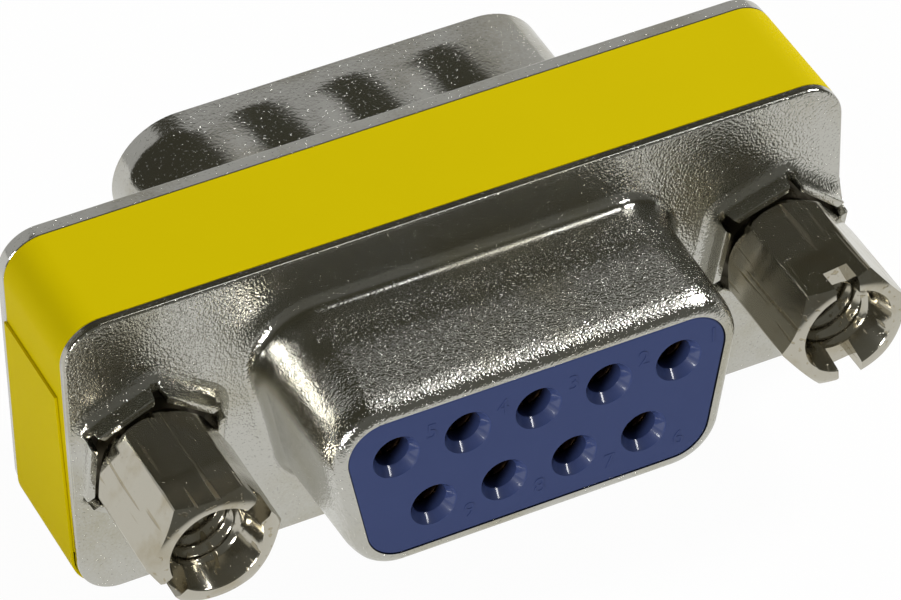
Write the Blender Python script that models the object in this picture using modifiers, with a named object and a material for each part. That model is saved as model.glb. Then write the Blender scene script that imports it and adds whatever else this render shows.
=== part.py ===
# Nine-way D-sub gender changer: socket hood in front, pin shell behind, two captive jackscrews.
# Metres, +Z up, +X to the right as seen from the socket side, which faces -Y.
# The origin is the middle of the socket insulator's mating face.
import math

import bmesh
import bpy
from mathutils import Matrix, Vector

# Contacts: five in the upper row and four below
CONTACT_PITCH = 0.00277
ROW_SPACING = 0.00284
UPPER_ROW_COUNT = 5
BARREL_DIAMETER = 0.00160
BARREL_BORE = 0.00106
BARREL_DEPTH = 0.0043           # length of the socket bore
BARREL_START = 0.00105          # barrel mouth behind the mating face
TINE_SLIT = 0.00020
TINE_LENGTH = 0.0026
SHOULDER_DIAMETER = 0.0021
SHOULDER_LENGTH = 0.0010
PIN_DIAMETER = 0.0010
PIN_RECESS = 0.0007             # pin tip below the pin shell's rim

# Outlines, built up from the contacts: the outside of the socket hood, the inside of the pin
# shell that would take such a hood, the jackscrews beside it, and the flange round them
HOOD_END_MARGIN = 0.002625      # end contact to the hood's end
HOOD_SIDE_MARGIN = 0.00253      # upper row to the hood's wide side
SHELL_END_FIT = 0.000295
SHELL_SIDE_FIT = 0.00023
HOOD_TO_JACKSCREW = 0.00429
JACKSCREW_TO_EDGE = 0.00291
FLANGE_LAND = 0.0023             # hood's wide side to the flange's edge
HOOD_WIDTH = (UPPER_ROW_COUNT - 1) * CONTACT_PITCH + 2 * HOOD_END_MARGIN
HOOD_HEIGHT = ROW_SPACING + 2 * HOOD_SIDE_MARGIN
PIN_SHELL_WIDTH = HOOD_WIDTH + 2 * SHELL_END_FIT
PIN_SHELL_HEIGHT = HOOD_HEIGHT + 2 * SHELL_SIDE_FIT
JACKSCREW_SPACING = HOOD_WIDTH + 2 * HOOD_TO_JACKSCREW
FLANGE_WIDTH = JACKSCREW_SPACING + 2 * JACKSCREW_TO_EDGE
FLANGE_HEIGHT = HOOD_HEIGHT + 2 * FLANGE_LAND

# Sheet metal shells
SHEET = 0.00030
FLANGE_CORNER = 0.0016
FLANGE_DROP = 0.00003           # middle of the flange below the middle of the contacts
FLANGE_EDGE_RADIUS = 0.00033
BODY_DEPTH = 0.0060             # front face of the front flange to back face of the rear one
SEAM_GAP = 0.00006              # where the two skirts, and the two insulators, meet

# Trapezoid sections of the socket hood and the pin shell
DEE_SLOPE = math.radians(10.0)
HOOD_CORNER = 0.0022
HOOD_LENGTH = 0.0060
HOOD_TAPER = 0.00013
HOOD_RIM_RADIUS = 0.00064
HOOD_RIM_FLAT = 0.00006          # level edge inside the rolled rim
HOOD_FLARE = 0.00034
HOOD_FLARE_LENGTH = 0.0010
HOOD_ROOT_FILLET = 0.00015
PIN_SHELL_CORNER = 0.0024
PIN_SHELL_LENGTH = 0.0053
PIN_SHELL_FILLET = 0.00045

# Grounding dents in the long walls of the pin shell, ramps that deepen towards the flange
UPPER_DENT_COUNT = 3
LOWER_DENT_COUNT = 2
DENT_END_ROOM = 0.3             # plain wall beside the upper row, in pitches
DENT_SHARE = 0.82               # of the pitch
DENT_PITCH = (PIN_SHELL_WIDTH - 2 * PIN_SHELL_CORNER) / (UPPER_DENT_COUNT + DENT_END_ROOM)
DENT_WIDTH = DENT_SHARE * DENT_PITCH
DENT_SHIFT = 0.00030            # the pattern's middle, right of the shell's
DENT_DEPTH = 0.00034            # at the ramp's deep end
DENT_RIM = 0.00035              # plain wall between the ramp and the shell's rim
DENT_ROOT = 0.0009              # plain wall between the dent and the flange
DENT_WALL = 0.00055             # width of the flat wall on its left
DENT_EDGE = 0.0009              # width of the soft edge on its right
DENT_FOOT = 0.0006              # length of the soft end by the flange

# Hexagonal lanced collars round the jackscrews
COLLAR_ACROSS = 0.0052
COLLAR_HEIGHT = 0.00085
COLLAR_TAB = 0.0022             # width of one tab along its side of the hexagon
COLLAR_SLIT = 0.00045
COLLAR_SLIT_FLOOR = 0.00020     # height of the slit's end above the flange
COLLAR_ROOT = 0.00010
LEFT_COLLAR_TURN = math.radians(23.7)
RIGHT_COLLAR_TURN = math.radians(18.5)

# Insulators
INSULATOR_GAP = 0.00003         # to the sheet metal
INSULATOR_BASE_SHARE = 0.55     # of the room between the hood's outline and the skirt
NOSE_CHAMFER = 0.00045
ENTRY_DIAMETER = 0.00132
COUNTERSINK_DIAMETER = 0.00182
COUNTERSINK_DEPTH = 0.00038
CONTACT_GAP = 0.00004           # contacts in their cavities
PIN_INSULATOR_RISE = 0.0005     # its face inside the pin shell, above the rear flange

# Jackscrews
HEX_ACROSS = 0.0045
HEX_RIDGE_RADIUS = 0.00015
POST_REACH = 0.0060             # in front of the front flange
POST_RING_DIAMETER = 0.0043
POST_CHAMFER = 0.00036
POST_CONE_START = 0.0017        # in front of the flange, where the ridges end
POST_CONE_END = 0.0003
POST_NECK_DIAMETER = 0.0038
POST_SEAT_GAP = 0.00005         # neck's end to the spacer
THREAD_DIAMETER = 0.00284
TAP_DIAMETER = 0.0023
COUNTERBORE_MOUTH = 0.00352
COUNTERBORE_FLOOR = 0.0030
COUNTERBORE_DEPTH = 0.00105
TAP_LEAD = 0.00035              # length of the cone that leads into the tapped hole
TAP_DEPTH = 0.0043
SLOT_WIDTH = 0.00095
SLOT_DEPTH = 0.0010
LEFT_HEX_TURN = math.radians(2.0)
RIGHT_HEX_TURN = math.radians(8.0)
LEFT_SLOT_TURN = math.radians(33.0)
RIGHT_SLOT_TURN = math.radians(93.0)
SCREW_REACH = 0.0046            # thread behind the rear flange
SCREW_TIP_CHAMFER = 0.0004
RUNNING_GAP = 0.00006           # round the shank and beside the retaining ring

# Spacers and retaining rings
SPACER_DIAMETER = 0.0041
SPACER_FLANGE_DIAMETER = 0.0050
SPACER_FLANGE = 0.0005
RING_THICKNESS = 0.0004
RING_DIAMETER = 0.0044
RING_OPENING = 0.0015
GROOVE_DIAMETER = 0.0022

# Wrapped label strip
LABEL_THICKNESS = 0.00010
LABEL_GAP = 0.00002
LABEL_RECESS = 0.00012          # depth of the band in the skirts where the strip lies
LABEL_END_GAP = 0.00003
LABEL_FRONT_MARGIN = 0.00039    # bare metal edge in front of the strip
LABEL_REAR_MARGIN = 0.00065
LABEL_DRIFT = 0.00042           # how far back the outer layer's front edge has wandered at its end
LABEL_SEAM_SHARE = 0.229        # end of the outer layer, of the flange's height above its middle
LABEL_UNDER_SHARE = -0.34       # start of the inner layer

# Facets
CORNER_STEPS = 6
ARC_STEPS = 5
FLARE_STEPS = 6
DENT_EDGE_STEPS = 3
DENT_FOOT_STEPS = 3
COLLAR_ROOT_STEPS = 3
TURN_STEPS = 28
CONTACT_STEPS = 12
ENTRY_STEPS = 20

INSULATOR_ROOM = FLANGE_LAND - SHEET - FLANGE_DROP
INSULATOR_BASE = INSULATOR_BASE_SHARE * INSULATOR_ROOM
FRONT_Y = HOOD_LENGTH
REAR_Y = FRONT_Y + BODY_DEPTH
SEAM_Y = FRONT_Y + BODY_DEPTH / 2
CUT_MARGIN = 0.0005             # how far a cutter runs past the face it opens


def make_collection(name):
    collection = bpy.data.collections.new(name)
    bpy.context.scene.collection.children.link(collection)
    return collection


def make_material(name, colour, roughness, metallic):
    material = bpy.data.materials.new(name)
    material.use_nodes = True
    shader = material.node_tree.nodes["Principled BSDF"]
    shader.inputs["Base Color"].default_value = (*colour, 1.0)
    shader.inputs["Roughness"].default_value = roughness
    shader.inputs["Metallic"].default_value = metallic
    return material


def add_object(name, bm, collection, material=None):
    """A named object from a bmesh, shaded smooth with its sharp edges kept."""
    mesh = bpy.data.meshes.new(name)
    bm.to_mesh(mesh)
    bm.free()
    mesh.shade_smooth()
    mesh.set_sharp_from_angle(angle=math.radians(35.0))
    piece = bpy.data.objects.new(name, mesh)
    collection.objects.link(piece)
    if material:
        mesh.materials.append(material)
    return piece


def mark_cutter(cutter):
    cutter.hide_render = True
    cutter.display_type = "WIRE"
    return cutter


def add_boolean(piece, operation, tool=None, tools=None):
    modifier = piece.modifiers.new(operation.lower(), "BOOLEAN")
    modifier.operation = operation
    modifier.solver = "EXACT"
    if tools:
        modifier.operand_type = "COLLECTION"
        modifier.collection = tools
    else:
        modifier.object = tool


def dee_outline(width, height, corner, offset, y, upper_lines=(), lower_lines=()):
    """Trapezoid with rounded corners, wide side up, clockwise from the upper left as seen from
    the front. Offset moves the whole outline outwards. Each long side can be divided at a rising
    list of x."""
    centre_z = height / 2 - corner
    upper_x = width / 2 - corner
    lower_x = upper_x - 2 * centre_z * math.tan(DEE_SLOPE)
    radius = corner + offset
    right = []
    for x, z, start, end in ((upper_x, centre_z, math.pi / 2, -DEE_SLOPE),
                             (lower_x, -centre_z, -DEE_SLOPE, -math.pi / 2)):
        for step in range(CORNER_STEPS + 1):
            angle = start + (end - start) * step / CORNER_STEPS
            right.append(Vector((x + radius * math.cos(angle), y, z + radius * math.sin(angle))))
    left = [Vector((-point.x, point.y, point.z)) for point in reversed(right)]
    top = height / 2 + offset
    upper = [Vector((x, y, top)) for x in upper_lines]
    lower = [Vector((x, y, -top)) for x in reversed(lower_lines)]
    return upper + right + lower + left


def flange_outline(inset, y, left_heights=()):
    """Rounded rectangle of the flange, clockwise from the upper left as seen from the front.
    Extra points on the left end can be asked for."""
    radius = FLANGE_CORNER - inset
    centre_x = FLANGE_WIDTH / 2 - FLANGE_CORNER
    centre_z = FLANGE_HEIGHT / 2 - FLANGE_CORNER
    points = []
    for x, z, start in ((centre_x, centre_z, 90), (centre_x, -centre_z, 0), (-centre_x, -centre_z, -90)):
        for step in range(CORNER_STEPS + 1):
            angle = math.radians(start - 90 * step / CORNER_STEPS)
            points.append((x + radius * math.cos(angle), z + radius * math.sin(angle)))
    points += [(inset - FLANGE_WIDTH / 2, height) for height in left_heights]
    for step in range(CORNER_STEPS + 1):
        angle = math.radians(180 - 90 * step / CORNER_STEPS)
        points.append((-centre_x + radius * math.cos(angle), centre_z + radius * math.sin(angle)))
    return [Vector((x, y, z - FLANGE_DROP)) for x, z in points]


def add_band(bm, loops, backwards=False):
    """Quads between neighbouring closed loops. Returns the loops' vertices."""
    rings = [[bm.verts.new(point) for point in loop] for loop in loops]
    for near, far in zip(rings, rings[1:]):
        for i, vertex in enumerate(near):
            j = (i + 1) % len(near)
            quad = [vertex, near[j], far[j], far[i]]
            bm.faces.new(reversed(quad) if backwards else quad)
    return rings


def ring_edges(bm, ring):
    return [bm.edges.get((vertex, ring[(i + 1) % len(ring)])) for i, vertex in enumerate(ring)]


def loft_solid(name, loops, collection, material=None):
    """Closed body through loops that run from front to back."""
    bm = bmesh.new()
    rings = add_band(bm, loops)
    bm.faces.new(reversed(rings[0]))
    bm.faces.new(rings[-1])
    return add_object(name, bm, collection, material)


def turned(name, profile, x, z, steps, collection, material=None):
    """Body of revolution about a line along Y. The profile is a closed list of (radius, y)
    that runs from back to front on the outside, then from front to back on the inside."""
    bm = bmesh.new()
    vertices = [bm.verts.new((radius, y, 0.0)) for radius, y in profile]
    for first, second in zip(vertices, vertices[1:]):
        bm.edges.new((first, second))
    if profile[0][0] > 0:
        bm.edges.new((vertices[-1], vertices[0]))
    piece = add_object(name, bm, collection, material)
    piece.location = (x, 0.0, z)
    screw = piece.modifiers.new("turn", "SCREW")
    screw.axis = "Y"
    screw.steps = steps
    screw.render_steps = steps
    screw.use_merge_vertices = True
    screw.merge_threshold = 0.000001
    screw.use_smooth_shade = True
    return piece


def hexagon_prism(name, across, turn, x, start, end, collection):
    """Hexagonal bar along Y on the jackscrew's line, its first ridge turned up from +X."""
    bm = bmesh.new()
    radius = across / math.sqrt(3)
    bmesh.ops.create_cone(bm, cap_ends=True, segments=6, radius1=radius, radius2=radius,
                          depth=end - start)
    first = min(bm.verts, key=lambda vertex: (abs(math.atan2(vertex.co.y, vertex.co.x)), vertex.co.z))
    lead = math.atan2(first.co.y, first.co.x)
    stand = Matrix.Rotation(math.pi / 2, 4, "X") @ Matrix.Rotation(turn - lead, 4, "Z")
    place = Matrix.Translation((x, (start + end) / 2, 0.0))
    bmesh.ops.transform(bm, matrix=place @ stand, verts=bm.verts)
    return mark_cutter(add_object(name, bm, collection))


def box(name, size, turn, centre, collection):
    """Box turned about Y, a positive turn lifting its +X end."""
    bm = bmesh.new()
    bmesh.ops.create_cube(bm, size=1.0)
    place = Matrix.Translation(centre) @ Matrix.Rotation(-turn, 4, "Y")
    bmesh.ops.transform(bm, matrix=place @ Matrix.Diagonal((*size, 1.0)), verts=bm.verts)
    return mark_cutter(add_object(name, bm, collection))


def arc(steps, quarter=math.pi / 2):
    return [quarter * step / steps for step in range(steps + 1)]


def smooth(share):
    """Rises from 0 to 1 with level ends."""
    share = min(max(share, 0.0), 1.0)
    return share * share * (3 - 2 * share)


def pressed_shell(name, hood_loops, pan_loops, backwards, collection, material):
    """Sheet metal pressing: a hood, a flat flange with a hole for it, and a skirt, as one open
    surface that is given the thickness of the sheet on its inside."""
    bm = bmesh.new()
    root = add_band(bm, hood_loops, backwards)[-1]
    rim = add_band(bm, pan_loops, backwards)[0]
    facing = Vector((0.0, 1.0 if backwards else -1.0, 0.0))
    bmesh.ops.triangle_fill(bm, edges=ring_edges(bm, root) + ring_edges(bm, rim),
                            use_beauty=True, normal=facing)
    shell = add_object(name, bm, collection, material)
    sheet = shell.modifiers.new("sheet", "SOLIDIFY")
    sheet.thickness = SHEET
    sheet.offset = -1.0
    sheet.use_even_offset = True
    return shell


def pan_loops(face_y, inward):
    """Rounded edge and skirt of a flange whose outer face is at face_y."""
    rows = [(FLANGE_EDGE_RADIUS * (1 - math.sin(t)), FLANGE_EDGE_RADIUS * (1 - math.cos(t)))
            for t in arc(ARC_STEPS)]
    rows.append((0.0, (BODY_DEPTH - SEAM_GAP) / 2))
    return [flange_outline(inset, face_y + inward * depth) for inset, depth in rows]


def collar_loop(apothem, tab, turn, x, y):
    """Hexagon with cut corners: the two ends of each tab, all round."""
    points = []
    for side in range(6):
        normal = turn + math.pi / 6 + side * math.pi / 3
        for end in (-tab / 2, tab / 2):
            points.append(Vector((x + apothem * math.cos(normal) - end * math.sin(normal), y,
                                  apothem * math.sin(normal) + end * math.cos(normal))))
    return list(reversed(points))


def add_collar(shell, side, x, turn, cutters):
    """Hexagonal boss raised on the flange, opened through and split at its corners into tabs."""
    outside = COLLAR_ACROSS / 2
    inside = outside - SHEET
    rows = [(0.0, -COLLAR_HEIGHT)]
    rows += [(COLLAR_ROOT * (1 - math.cos(t)), COLLAR_ROOT * (math.sin(t) - 1)) for t in arc(COLLAR_ROOT_STEPS)]
    rows.append((COLLAR_ROOT, SHEET / 2))
    boss = loft_solid(side + "_collar_boss",
                      [collar_loop(outside + spread, COLLAR_TAB, turn, x, FRONT_Y + y)
                       for spread, y in rows], cutters)
    add_boolean(shell, "UNION", mark_cutter(boss))
    inner_tab = COLLAR_TAB - SHEET
    hole = loft_solid(side + "_collar_hole",
                      [collar_loop(inside, inner_tab, turn, x, y)
                       for y in (FRONT_Y - COLLAR_HEIGHT - CUT_MARGIN, FRONT_Y + SHEET + CUT_MARGIN)],
                      cutters)
    add_boolean(shell, "DIFFERENCE", mark_cutter(hole))
    start = FRONT_Y - COLLAR_HEIGHT - CUT_MARGIN
    end = FRONT_Y - COLLAR_SLIT_FLOOR
    reach = COLLAR_ACROSS + 2 * CUT_MARGIN
    for pair in range(3):
        slit = box(side + "_collar_slit_" + str(pair + 1),
                   (reach, end - start, COLLAR_SLIT),
                   turn + pair * math.pi / 3, (x, (start + end) / 2, 0.0), cutters)
        add_boolean(shell, "DIFFERENCE", slit)


def make_front_shell(collection, cutters, material):
    """Socket side: hood with a rolled rim and a flared root, flange, skirt and two collars."""
    rows = [(-HOOD_RIM_FLAT - HOOD_RIM_RADIUS - HOOD_TAPER, 0.0)]
    rows += [(HOOD_RIM_RADIUS * (math.sin(t) - 1) - HOOD_TAPER, HOOD_RIM_RADIUS * (1 - math.cos(t)))
             for t in arc(ARC_STEPS)]
    flare_run = HOOD_FLARE_LENGTH - HOOD_ROOT_FILLET
    rows += [(HOOD_FLARE * smooth(step / FLARE_STEPS),
              FRONT_Y - HOOD_FLARE_LENGTH + flare_run * step / FLARE_STEPS)
             for step in range(FLARE_STEPS)]
    rows += [(HOOD_FLARE + HOOD_ROOT_FILLET * (1 - math.cos(t)),
              FRONT_Y - HOOD_ROOT_FILLET * (1 - math.sin(t))) for t in arc(3)]
    hood = [dee_outline(HOOD_WIDTH, HOOD_HEIGHT, HOOD_CORNER, offset, y) for offset, y in rows]
    shell = pressed_shell("front_shell", hood, pan_loops(FRONT_Y, 1), False, collection, material)
    add_collar(shell, "left", -JACKSCREW_SPACING / 2, LEFT_COLLAR_TURN, cutters)
    add_collar(shell, "right", JACKSCREW_SPACING / 2, RIGHT_COLLAR_TURN, cutters)
    return shell


def dent_lefts(count):
    """Left edge of each dent in a row."""
    return [(dent - (count - 1) / 2) * DENT_PITCH + DENT_SHIFT - DENT_WIDTH / 2 for dent in range(count)]


def dent_lines(count):
    """Where the wall is divided: both sides of each dent's flat wall, and its soft edge."""
    across = [0.0, DENT_WALL]
    across += [DENT_WIDTH - DENT_EDGE * (1 - step / DENT_EDGE_STEPS) for step in range(DENT_EDGE_STEPS + 1)]
    return [left + x for left in dent_lefts(count) for x in across]


def dent_depth(x, depth, count):
    """How far the wall is pressed in at x, and at depth from the rear flange."""
    ramp = PIN_SHELL_LENGTH - DENT_RIM - depth
    share = max(ramp, 0.0) / (PIN_SHELL_LENGTH - DENT_RIM - DENT_ROOT)
    along = share * smooth((depth - DENT_ROOT) / DENT_FOOT)
    across = 0.0
    for left in dent_lefts(count):
        wall = min(max((x - left) / DENT_WALL, 0.0), 1.0)
        across += wall * smooth((left + DENT_WIDTH - x) / DENT_EDGE) if x < left + DENT_WIDTH else 0.0
    return DENT_DEPTH * along * across


def make_rear_shell(collection, cutters, material):
    """Pin side: straight shell with dents in its long walls, flange and skirt."""
    width = PIN_SHELL_WIDTH + 2 * SHEET
    height = PIN_SHELL_HEIGHT + 2 * SHEET
    corner = PIN_SHELL_CORNER + SHEET
    depths = [PIN_SHELL_LENGTH, PIN_SHELL_LENGTH - DENT_RIM]
    depths += [DENT_ROOT + DENT_FOOT * (1 - step / DENT_FOOT_STEPS) for step in range(DENT_FOOT_STEPS + 1)]
    rows = [(0.0, depth) for depth in depths]
    rows += [(PIN_SHELL_FILLET * (1 - math.cos(t)), PIN_SHELL_FILLET * (1 - math.sin(t)))
             for t in arc(4)]
    shell_loops = []
    for offset, depth in rows:
        loop = dee_outline(width, height, corner, offset, REAR_Y + depth,
                           dent_lines(UPPER_DENT_COUNT), dent_lines(LOWER_DENT_COUNT))
        for point in loop:
            if abs(abs(point.z) - height / 2 - offset) < SHEET / 100:
                count = UPPER_DENT_COUNT if point.z > 0 else LOWER_DENT_COUNT
                point.z -= math.copysign(dent_depth(point.x, depth, count), point.z)
        shell_loops.append(loop)
    shell = pressed_shell("rear_shell", shell_loops, pan_loops(REAR_Y, -1), True, collection, material)
    radius = THREAD_DIAMETER / 2 + RUNNING_GAP
    for side, x in (("left", -JACKSCREW_SPACING / 2), ("right", JACKSCREW_SPACING / 2)):
        start, end = REAR_Y - SHEET - CUT_MARGIN, REAR_Y + CUT_MARGIN
        profile = [(0.0, end), (radius, end), (radius, start), (0.0, start)]
        hole = turned(side + "_rear_hole", profile, x, 0.0, TURN_STEPS, cutters)
        add_boolean(shell, "DIFFERENCE", mark_cutter(hole))
    return shell


def contact_places():
    """Number and position of each contact, 1 to 5 above from the right, then 6 to 9 below."""
    places = []
    for row, (count, z) in enumerate(((UPPER_ROW_COUNT, ROW_SPACING / 2),
                                      (UPPER_ROW_COUNT - 1, -ROW_SPACING / 2))):
        for column in range(count):
            number = 1 + column + row * UPPER_ROW_COUNT
            places.append((number, ((count - 1) / 2 - column) * CONTACT_PITCH, z))
    return places


def make_front_insulator(collection, cutters, material):
    """Socket insulator: a nose that fills the hood and shows in its mouth, and a wider base
    behind the flange. Each of its cavities has a countersunk entry."""
    mouth = -HOOD_TAPER - HOOD_RIM_RADIUS - HOOD_RIM_FLAT - INSULATOR_GAP
    body = -HOOD_TAPER - SHEET - INSULATOR_GAP
    chamfer_start = SHEET + INSULATOR_GAP
    base_front = FRONT_Y + SHEET + INSULATOR_GAP
    rows = [(mouth, 0.0), (mouth, chamfer_start), (body, chamfer_start + NOSE_CHAMFER),
            (body, base_front), (INSULATOR_BASE, base_front), (INSULATOR_BASE, SEAM_Y - SEAM_GAP / 2)]
    insulator = loft_solid("front_insulator",
                           [dee_outline(HOOD_WIDTH, HOOD_HEIGHT, HOOD_CORNER, offset, y)
                            for offset, y in rows], collection, material)
    entry = ENTRY_DIAMETER / 2
    chamber = BARREL_DIAMETER / 2 + CONTACT_GAP
    pocket = SHOULDER_DIAMETER / 2 + CONTACT_GAP
    shoulder_front = SEAM_Y - SHOULDER_LENGTH / 2 - CONTACT_GAP
    throat = BARREL_START - CONTACT_GAP
    mouth_radius = COUNTERSINK_DIAMETER / 2
    wide = mouth_radius + (mouth_radius - entry) * CUT_MARGIN / COUNTERSINK_DEPTH
    profile = [(0.0, SEAM_Y + CUT_MARGIN), (pocket, SEAM_Y + CUT_MARGIN), (pocket, shoulder_front),
               (chamber, shoulder_front), (chamber, throat), (entry, throat),
               (entry, COUNTERSINK_DEPTH), (wide, -CUT_MARGIN), (0.0, -CUT_MARGIN)]
    cavities = make_collection("socket_cavities")
    cutters.children.link(cavities)
    bpy.context.scene.collection.children.unlink(cavities)
    for number, x, z in contact_places():
        mark_cutter(turned("socket_cavity_" + str(number), profile, x, z, ENTRY_STEPS, cavities))
    add_boolean(insulator, "DIFFERENCE", tools=cavities)
    return insulator


def make_rear_insulator(collection, cutters, material):
    """Pin insulator: a base behind the rear flange and a plug that closes the pin shell's root."""
    width = PIN_SHELL_WIDTH - 2 * INSULATOR_GAP
    height = PIN_SHELL_HEIGHT - 2 * INSULATOR_GAP
    corner = PIN_SHELL_CORNER - INSULATOR_GAP
    base_back = REAR_Y - SHEET - INSULATOR_GAP
    grow = INSULATOR_BASE + (HOOD_WIDTH - width) / 2
    rows = [(grow, SEAM_Y + SEAM_GAP / 2), (grow, base_back), (0.0, base_back),
            (0.0, REAR_Y + PIN_INSULATOR_RISE)]
    insulator = loft_solid("rear_insulator",
                           [dee_outline(width, height, corner, offset, y) for offset, y in rows],
                           collection, material)
    bore = PIN_DIAMETER / 2 + CONTACT_GAP
    pocket = SHOULDER_DIAMETER / 2 + CONTACT_GAP
    shoulder_back = SEAM_Y + SHOULDER_LENGTH / 2 + CONTACT_GAP
    end = REAR_Y + PIN_INSULATOR_RISE + CUT_MARGIN
    profile = [(0.0, end), (bore, end), (bore, shoulder_back), (pocket, shoulder_back),
               (pocket, SEAM_Y - CUT_MARGIN), (0.0, SEAM_Y - CUT_MARGIN)]
    cavities = make_collection("pin_cavities")
    cutters.children.link(cavities)
    bpy.context.scene.collection.children.unlink(cavities)
    for number, x, z in contact_places():
        mark_cutter(turned("pin_cavity_" + str(number), profile, x, z, CONTACT_STEPS, cavities))
    add_boolean(insulator, "DIFFERENCE", tools=cavities)
    return insulator


def make_contacts(collection, cutters, material):
    """Nine turned contacts: a slit socket barrel in front, a shoulder, and a pin behind."""
    barrel = BARREL_DIAMETER / 2
    bore = BARREL_BORE / 2
    shoulder = SHOULDER_DIAMETER / 2
    pin = PIN_DIAMETER / 2
    lead = (barrel - bore) / 2
    bore_floor = BARREL_START + BARREL_DEPTH
    tip = REAR_Y + PIN_SHELL_LENGTH - PIN_RECESS
    profile = [(0.0, tip)]
    profile += [(pin * math.sin(t), tip - pin * (1 - math.cos(t))) for t in arc(3)[1:]]
    profile += [(pin, SEAM_Y + SHOULDER_LENGTH / 2), (shoulder, SEAM_Y + SHOULDER_LENGTH / 2),
                (shoulder, SEAM_Y - SHOULDER_LENGTH / 2), (barrel, SEAM_Y - SHOULDER_LENGTH / 2),
                (barrel, BARREL_START), (bore + lead, BARREL_START), (bore, BARREL_START + lead),
                (bore, bore_floor), (0.0, bore_floor)]
    pattern = turned("contact_pattern", profile, 0.0, 0.0, CONTACT_STEPS, cutters, material)
    mark_cutter(pattern)
    slit_start = BARREL_START - CUT_MARGIN
    slit_end = BARREL_START + TINE_LENGTH
    slit = box("tine_slit", (TINE_SLIT, slit_end - slit_start, 2 * BARREL_DIAMETER), 0.0,
               (0.0, (slit_start + slit_end) / 2, 0.0), cutters)
    add_boolean(pattern, "DIFFERENCE", slit)
    graph = bpy.context.evaluated_depsgraph_get()
    mesh = bpy.data.meshes.new_from_object(pattern.evaluated_get(graph))
    mesh.name = "contact"
    for number, x, z in contact_places():
        contact = bpy.data.objects.new("contact_" + str(number), mesh)
        contact.location = (x, 0.0, z)
        collection.objects.link(contact)


def make_jackscrew(side, x, hex_turn, slot_turn, collection, cutters, material):
    """Slotted hexagonal post with a tapped hole, on a threaded shank that leaves at the back."""
    front = FRONT_Y - POST_REACH
    seat = FRONT_Y + SHEET + INSULATOR_GAP - POST_SEAT_GAP
    neck = POST_NECK_DIAMETER / 2
    corner = HEX_ACROSS / math.sqrt(3)
    ring = POST_RING_DIAMETER / 2
    shank = THREAD_DIAMETER / 2
    groove = GROOVE_DIAMETER / 2
    groove_front = REAR_Y + RUNNING_GAP
    groove_back = groove_front + RING_THICKNESS + RUNNING_GAP
    end = REAR_Y + SCREW_REACH
    tap = TAP_DIAMETER / 2
    bore_floor = front + COUNTERBORE_DEPTH
    profile = [(0.0, end), (shank - SCREW_TIP_CHAMFER, end), (shank, end - SCREW_TIP_CHAMFER),
               (shank, groove_back), (groove, groove_back), (groove, groove_front), (shank, groove_front),
               (shank, seat), (neck, seat), (neck, FRONT_Y - POST_CONE_END),
               (corner, FRONT_Y - POST_CONE_START), (corner, front + POST_CHAMFER), (ring, front),
               (COUNTERBORE_MOUTH / 2, front), (COUNTERBORE_FLOOR / 2, bore_floor),
               (tap, bore_floor + TAP_LEAD),
               (tap, front + TAP_DEPTH), (0.0, front + TAP_DEPTH + tap / 2)]
    screw = turned(side + "_jackscrew", profile, x, 0.0, TURN_STEPS, collection, material)
    start, stop = front - CUT_MARGIN, end + CUT_MARGIN
    bar = hexagon_prism(side + "_hexagon", HEX_ACROSS, hex_turn, x, start, stop, cutters)
    ridges = bar.modifiers.new("ridges", "BEVEL")
    ridges.width = HEX_RIDGE_RADIUS
    ridges.segments = 2
    ridges.limit_method = "ANGLE"
    add_boolean(screw, "INTERSECT", bar)
    slot = box(side + "_slot", (2 * HEX_ACROSS, 2 * SLOT_DEPTH, SLOT_WIDTH), slot_turn,
               (x, front, 0.0), cutters)
    add_boolean(screw, "DIFFERENCE", slot)
    return screw


def make_spacer(side, x, collection, material):
    """Flanged sleeve that keeps the two flanges apart round the shank."""
    bore = THREAD_DIAMETER / 2 + RUNNING_GAP
    front = FRONT_Y + SHEET + INSULATOR_GAP
    back = REAR_Y - SHEET - INSULATOR_GAP
    flange = SPACER_FLANGE_DIAMETER / 2
    sleeve = SPACER_DIAMETER / 2
    profile = [(sleeve, back), (sleeve, front + SPACER_FLANGE), (flange, front + SPACER_FLANGE),
               (flange, front), (bore, front), (bore, back)]
    return turned(side + "_spacer", profile, x, 0.0, TURN_STEPS, collection, material)


def make_retaining_ring(side, x, collection, cutters, material):
    """Open ring clipped into the groove behind the rear flange."""
    front = REAR_Y + RUNNING_GAP + RUNNING_GAP / 2
    back = front + RING_THICKNESS
    inner = GROOVE_DIAMETER / 2 + RUNNING_GAP / 2
    outer = RING_DIAMETER / 2
    profile = [(outer, back), (outer, front), (inner, front), (inner, back)]
    ring = turned(side + "_retaining_ring", profile, x, 0.0, TURN_STEPS, collection, material)
    opening = box(side + "_ring_opening",
                  (RING_OPENING, RING_THICKNESS + 2 * CUT_MARGIN, RING_DIAMETER), 0.0,
                  (x, (front + back) / 2, -RING_DIAMETER / 2), cutters)
    add_boolean(ring, "DIFFERENCE", opening)
    return ring


def make_recess(cutters):
    """Cutter for the shallow band round both skirts."""
    front = FRONT_Y + LABEL_FRONT_MARGIN - LABEL_END_GAP
    back = REAR_Y - LABEL_REAR_MARGIN + LABEL_END_GAP
    section = ((-CUT_MARGIN, front), (-CUT_MARGIN, back), (LABEL_RECESS, back), (LABEL_RECESS, front),
               (-CUT_MARGIN, front))
    bm = bmesh.new()
    add_band(bm, [flange_outline(inset, y) for inset, y in section])
    bmesh.ops.remove_doubles(bm, verts=bm.verts, dist=0.000001)
    return mark_cutter(add_object("label_band", bm, cutters))


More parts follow.
